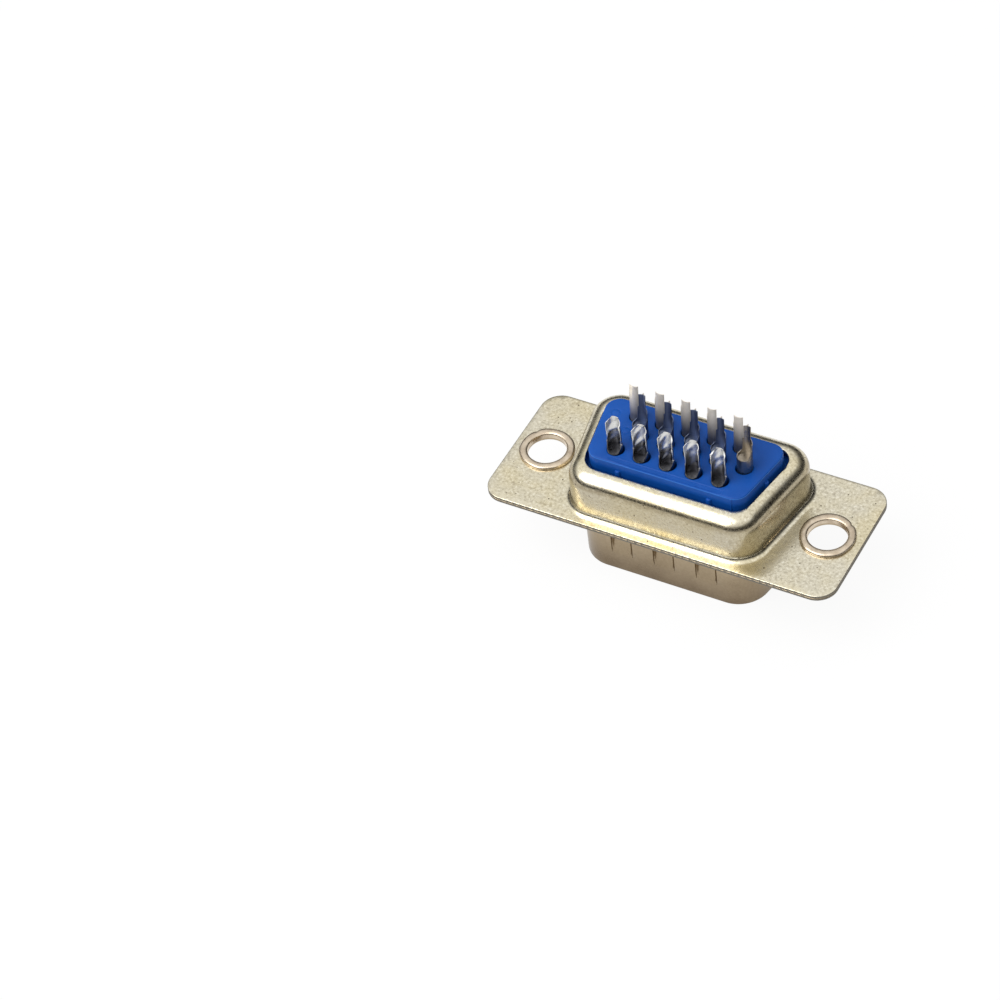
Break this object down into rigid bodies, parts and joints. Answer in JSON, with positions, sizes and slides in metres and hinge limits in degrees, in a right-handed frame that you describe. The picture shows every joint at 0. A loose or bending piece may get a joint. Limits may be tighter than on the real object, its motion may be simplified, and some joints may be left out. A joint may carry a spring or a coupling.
{
  "type": "d-sub connector",
  "caption": "Solder-cup plug connector with a D-shaped metal shell, a flat flange with a mounting hole at each end, a moulded insulator and rows of thin pins",
  "frame": {"origin": "centre of the mating rim, on the plane the rim stands on", "axes": "+Z from the mating rim to the solder cups, X through both mounting holes, +Y toward the wide side of the D"},
  "size_m": [0.0308, 0.0126, 0.0156],
  "materials": {
    "front_shell_metal": "smooth drawn sheet with a warm brown-beige plating",
    "rear_shell_metal": "pale yellow-grey plating with a fine mottled grain on the flange",
    "insulator_plastic": "satin moulded blue plastic",
    "contact_metal": "tinned solder cups, gold-plated pins"
  },
  "bodies": {
    "root": {"front_shell": "front_shell_metal", "rear_shell": "rear_shell_metal", "front_insulator": "insulator_plastic", "rear_insulator": "insulator_plastic", "contact_01": "contact_metal", "contact_02": "contact_metal", "contact_03": "contact_metal", "contact_04": "contact_metal", "contact_05": "contact_metal", "contact_06": "contact_metal", "contact_07": "contact_metal", "contact_08": "contact_metal", "contact_09": "contact_metal", "contact_10": "contact_metal", "contact_11": "contact_metal", "contact_12": "contact_metal", "contact_13": "contact_metal", "contact_14": "contact_metal", "contact_15": "contact_metal"}
  },
  "joints": []
}
